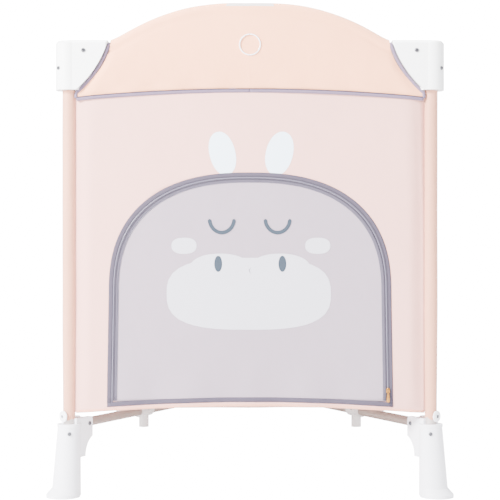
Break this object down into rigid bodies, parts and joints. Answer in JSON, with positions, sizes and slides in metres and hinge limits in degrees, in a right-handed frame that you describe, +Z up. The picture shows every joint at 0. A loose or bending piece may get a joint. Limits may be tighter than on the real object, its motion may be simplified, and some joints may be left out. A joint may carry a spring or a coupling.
{
  "type": "folding travel playpen",
  "caption": "Folding travel playpen with arched padded end rails, corner posts on flared feet, fabric walls, a zipped arched door panel and a sectioned mattress.",
  "frame": {"origin": "middle of the footprint, on the floor", "axes": "+Z up, -Y out of the end with the zipped door, +Y along the long sides, +X to the right seen from the door end"},
  "size_m": [0.68, 1.254, 0.826],
  "materials": {
    "post_tube": "satin",
    "rail_tube": "satin",
    "arm_tube": "satin",
    "cap_plastic": "gloss",
    "foot_plastic": "satin",
    "grey_plastic": "satin",
    "release_plastic": "satin",
    "white_plastic": "gloss",
    "screw_steel": "brushed",
    "zip_brass": "polished",
    "wall_fabric": "woven",
    "cover_fabric": "padded woven",
    "door_fabric": "woven",
    "floor_cloth": "woven",
    "mattress_fabric": "padded quilted"
  },
  "bodies": {
    "front_left_corner": {"front_left_post": "post_tube", "front_left_cap": "cap_plastic", "front_left_foot": "foot_plastic", "front_left_screws": "screw_steel", "front_left_button": "white_plastic", "front_wall": "wall_fabric", "left_wall": "wall_fabric", "floor_fabric": "floor_cloth"},
    "front_right_corner": {"front_right_post": "post_tube", "front_right_cap": "cap_plastic", "front_right_foot": "foot_plastic", "front_right_screws": "screw_steel", "front_right_button": "white_plastic", "right_wall": "wall_fabric"},
    "back_left_corner": {"back_left_post": "post_tube", "back_left_cap": "cap_plastic", "back_left_foot": "foot_plastic", "back_left_screws": "screw_steel", "back_left_button": "white_plastic", "back_wall": "wall_fabric"},
    "back_right_corner": {"back_right_post": "post_tube", "back_right_cap": "cap_plastic", "back_right_foot": "foot_plastic", "back_right_screws": "screw_steel", "back_right_button": "white_plastic"},
    "front_rail_left": {"front_rail_left": "rail_tube"},
    "front_rail_right": {"front_rail_right": "rail_tube"},
    "back_rail_left": {"back_rail_left": "rail_tube"},
    "back_rail_right": {"back_rail_right": "rail_tube"},
    "left_rail_front": {"left_rail_front": "rail_tube"},
    "left_rail_back": {"left_rail_back": "rail_tube"},
    "right_rail_front": {"right_rail_front": "rail_tube"},
    "right_rail_back": {"right_rail_back": "rail_tube"},
    "front_lock": {"front_lock": "grey_plastic", "front_cover": "cover_fabric"},
    "front_lock_button": {"front_lock_button": "release_plastic"},
    "back_lock": {"back_lock": "grey_plastic", "back_cover": "cover_fabric"},
    "back_lock_button": {"back_lock_button": "release_plastic"},
    "left_lock": {"left_lock": "grey_plastic", "left_cover": "cover_fabric"},
    "left_lock_button": {"left_lock_button": "release_plastic"},
    "right_lock": {"right_lock": "grey_plastic", "right_cover": "cover_fabric"},
    "right_lock_button": {"right_lock_button": "release_plastic"},
    "front_left_arm": {"front_left_arm": "arm_tube", "front_left_connector": "grey_plastic"},
    "front_right_arm": {"front_right_arm": "arm_tube", "front_right_connector": "grey_plastic"},
    "back_left_arm": {"back_left_arm": "arm_tube", "back_left_connector": "grey_plastic"},
    "back_right_arm": {"back_right_arm": "arm_tube", "back_right_connector": "grey_plastic"},
    "base_hub": {"base_hub": "grey_plastic"},
    "mattress_1": {"mattress_1": "mattress_fabric"},
    "mattress_2": {"mattress_2": "mattress_fabric"},
    "mattress_3": {"mattress_3": "mattress_fabric"},
    "mattress_4": {"mattress_4": "mattress_fabric"},
    "door_flap": {"door_flap": "door_fabric"},
    "zip_slider": {"zip_slider": "zip_brass"}
  },
  "joints": [
    {"name": "frame_fold", "type": "hinge", "parent": "front_left_corner", "child": "left_rail_front", "pos_m": [-0.303, -0.564, 0.744], "axis": [-1, 0, 0], "range_deg": [0, 82.22], "deforming": ["front_wall", "back_wall", "left_wall", "right_wall", "front_cover", "back_cover", "left_cover", "right_cover", "floor_fabric", "door_flap", "mattress_1", "mattress_2", "mattress_3", "mattress_4"]},
    {"name": "left_lock_front_pin", "type": "hinge", "parent": "left_rail_front", "child": "left_lock", "pos_m": [-0.303, -0.025, 0.744], "axis": [1, 0, 0], "range_deg": [0, 82.24]},
    {"name": "left_lock_back_pin", "type": "hinge", "parent": "left_lock", "child": "left_rail_back", "pos_m": [-0.303, 0.025, 0.744], "axis": [1, 0, 0], "range_deg": [0, 82.24]},
    {"name": "back_left_cap_side", "type": "hinge", "parent": "left_rail_back", "child": "back_left_corner", "pos_m": [-0.303, 0.564, 0.744], "axis": [-1, 0, 0], "range_deg": [0, 82.24]},
    {"name": "front_left_cap_end", "type": "hinge", "parent": "front_left_corner", "child": "front_rail_left", "pos_m": [-0.277, -0.59, 0.744], "axis": [0, 1, 0], "range_deg": [0, 99.91]},
    {"name": "front_lock_left_pin", "type": "hinge", "parent": "front_rail_left", "child": "front_lock", "pos_m": [-0.025, -0.59, 0.811], "axis": [0, -1, 0], "range_deg": [0, 99.91]},
    {"name": "front_lock_right_pin", "type": "hinge", "parent": "front_lock", "child": "front_rail_right", "pos_m": [0.025, -0.59, 0.811], "axis": [0, -1, 0], "range_deg": [0, 99.91]},
    {"name": "front_right_cap_end", "type": "hinge", "parent": "front_rail_right", "child": "front_right_corner", "pos_m": [0.277, -0.59, 0.744], "axis": [0, 1, 0], "range_deg": [0, 99.91]},
    {"name": "back_left_cap_end", "type": "hinge", "parent": "back_left_corner", "child": "back_rail_left", "pos_m": [-0.277, 0.59, 0.744], "axis": [0, 1, 0], "range_deg": [0, 99.91]},
    {"name": "back_lock_left_pin", "type": "hinge", "parent": "back_rail_left", "child": "back_lock", "pos_m": [-0.025, 0.59, 0.811], "axis": [0, -1, 0], "range_deg": [0, 99.91]},
    {"name": "back_lock_right_pin", "type": "hinge", "parent": "back_lock", "child": "back_rail_right", "pos_m": [0.025, 0.59, 0.811], "axis": [0, -1, 0], "range_deg": [0, 99.91]},
    {"name": "back_right_cap_end", "type": "hinge", "parent": "back_rail_right", "child": "back_right_corner", "pos_m": [0.277, 0.59, 0.744], "axis": [0, 1, 0], "range_deg": [0, 99.91]},
    {"name": "front_right_cap_side", "type": "hinge", "parent": "front_right_corner", "child": "right_rail_front", "pos_m": [0.303, -0.564, 0.744], "axis": [-1, 0, 0], "range_deg": [0, 82.24]},
    {"name": "right_lock_front_pin", "type": "hinge", "parent": "right_rail_front", "child": "right_lock", "pos_m": [0.303, -0.025, 0.744], "axis": [1, 0, 0], "range_deg": [0, 82.24]},
    {"name": "right_lock_back_pin", "type": "hinge", "parent": "right_lock", "child": "right_rail_back", "pos_m": [0.303, 0.025, 0.744], "axis": [1, 0, 0], "range_deg": [0, 82.24]},
    {"name": "front_left_foot_pivot", "type": "hinge", "parent": "front_left_corner", "child": "front_left_arm", "pos_m": [-0.28534, -0.55411, 0.118], "axis": [0.8973, -0.4414, 0], "range_deg": [0, 82.64]},
    {"name": "front_right_foot_pivot", "type": "hinge", "parent": "front_right_corner", "child": "front_right_arm", "pos_m": [0.28534, -0.55411, 0.118], "axis": [0.8973, 0.4414, 0], "range_deg": [0, 82.64]},
    {"name": "back_left_foot_pivot", "type": "hinge", "parent": "back_left_corner", "child": "back_left_arm", "pos_m": [-0.28534, 0.55411, 0.118], "axis": [-0.8973, -0.4414, 0], "range_deg": [0, 82.64]},
    {"name": "back_right_foot_pivot", "type": "hinge", "parent": "back_right_corner", "child": "back_right_arm", "pos_m": [0.28534, 0.55411, 0.118], "axis": [-0.8973, 0.4414, 0], "range_deg": [0, 82.64]},
    {"name": "hub_pivot", "type": "hinge", "parent": "front_left_arm", "child": "base_hub", "pos_m": [-0.0223, -0.0194, 0.118], "axis": [-0.8973, 0.4414, 0], "range_deg": [0, 82.64]},
    {"name": "mattress_1_hinge", "type": "hinge", "parent": "front_left_corner", "child": "mattress_1", "pos_m": [-0.3243, -0.43725, 0.1037], "axis": [0, -1, 0], "range_deg": [0, 90.02]},
    {"name": "mattress_2_hinge", "type": "hinge", "parent": "mattress_1", "child": "mattress_2", "pos_m": [0, -0.2915, 0.1511], "axis": [-1, 0, 0], "range_deg": [0, 90.02]},
    {"name": "mattress_3_hinge", "type": "hinge", "parent": "mattress_2", "child": "mattress_3", "pos_m": [0, 0, 0.1511], "axis": [-1, 0, 0], "range_deg": [0, 90.02]},
    {"name": "mattress_4_hinge", "type": "hinge", "parent": "mattress_3", "child": "mattress_4", "pos_m": [0, 0.2915, 0.1511], "axis": [-1, 0, 0], "range_deg": [0, 180.02]},
    {"name": "front_lock_press", "type": "slide", "parent": "front_lock", "child": "front_lock_button", "axis": [0, 0, 1], "range_m": [0, 0.0045], "stiffness_N_per_m": 400, "springref_m": -0.002},
    {"name": "back_lock_press", "type": "slide", "parent": "back_lock", "child": "back_lock_button", "axis": [0, 0, 1], "range_m": [0, 0.0045], "stiffness_N_per_m": 400, "springref_m": -0.002},
    {"name": "left_lock_press", "type": "slide", "parent": "left_lock", "child": "left_lock_button", "axis": [0, 0, 1], "range_m": [0, 0.0045], "stiffness_N_per_m": 400, "springref_m": -0.002},
    {"name": "right_lock_press", "type": "slide", "parent": "right_lock", "child": "right_lock_button", "axis": [0, 0, 1], "range_m": [0, 0.0045], "stiffness_N_per_m": 400, "springref_m": -0.002},
    {"name": "door_drop", "type": "hinge", "parent": "front_left_corner", "child": "door_flap", "pos_m": [0, -0.6015, 0.1595], "axis": [1, 0, 0], "range_deg": [0, 110]},
    {"name": "zip_slide", "type": "slide", "parent": "front_right_corner", "child": "zip_slider", "axis": [0, 0, 1], "range_m": [0, 0.2]}
  ],
  "couplings": [
    {"joint": "left_lock_front_pin", "follows": "frame_fold", "ratio": 1},
    {"joint": "left_lock_back_pin", "follows": "frame_fold", "ratio": 1},
    {"joint": "back_left_cap_side", "follows": "frame_fold", "ratio": 1},
    {"joint": "front_left_cap_end", "follows": "frame_fold", "ratio": 1.2149},
    {"joint": "front_lock_left_pin", "follows": "frame_fold", "ratio": 1.2149},
    {"joint": "front_lock_right_pin", "follows": "frame_fold", "ratio": 1.2149},
    {"joint": "front_right_cap_end", "follows": "frame_fold", "ratio": 1.2149},
    {"joint": "back_left_cap_end", "follows": "frame_fold", "ratio": 1.2149},
    {"joint": "back_lock_left_pin", "follows": "frame_fold", "ratio": 1.2149},
    {"joint": "back_lock_right_pin", "follows": "frame_fold", "ratio": 1.2149},
    {"joint": "back_right_cap_end", "follows": "frame_fold", "ratio": 1.2149},
    {"joint": "front_right_cap_side", "follows": "frame_fold", "ratio": 1},
    {"joint": "right_lock_front_pin", "follows": "frame_fold", "ratio": 1},
    {"joint": "right_lock_back_pin", "follows": "frame_fold", "ratio": 1},
    {"joint": "front_left_foot_pivot", "follows": "frame_fold", "ratio": 1.0049},
    {"joint": "front_right_foot_pivot", "follows": "frame_fold", "ratio": 1.0049},
    {"joint": "back_left_foot_pivot", "follows": "frame_fold", "ratio": 1.0049},
    {"joint": "back_right_foot_pivot", "follows": "frame_fold", "ratio": 1.0049},
    {"joint": "hub_pivot", "follows": "frame_fold", "ratio": 1.0049},
    {"joint": "mattress_1_hinge", "follows": "frame_fold", "ratio": 1.0946},
    {"joint": "mattress_2_hinge", "follows": "frame_fold", "ratio": 1.0946},
    {"joint": "mattress_3_hinge", "follows": "frame_fold", "ratio": 1.0946},
    {"joint": "mattress_4_hinge", "follows": "frame_fold", "ratio": 2.1892}
  ]
}
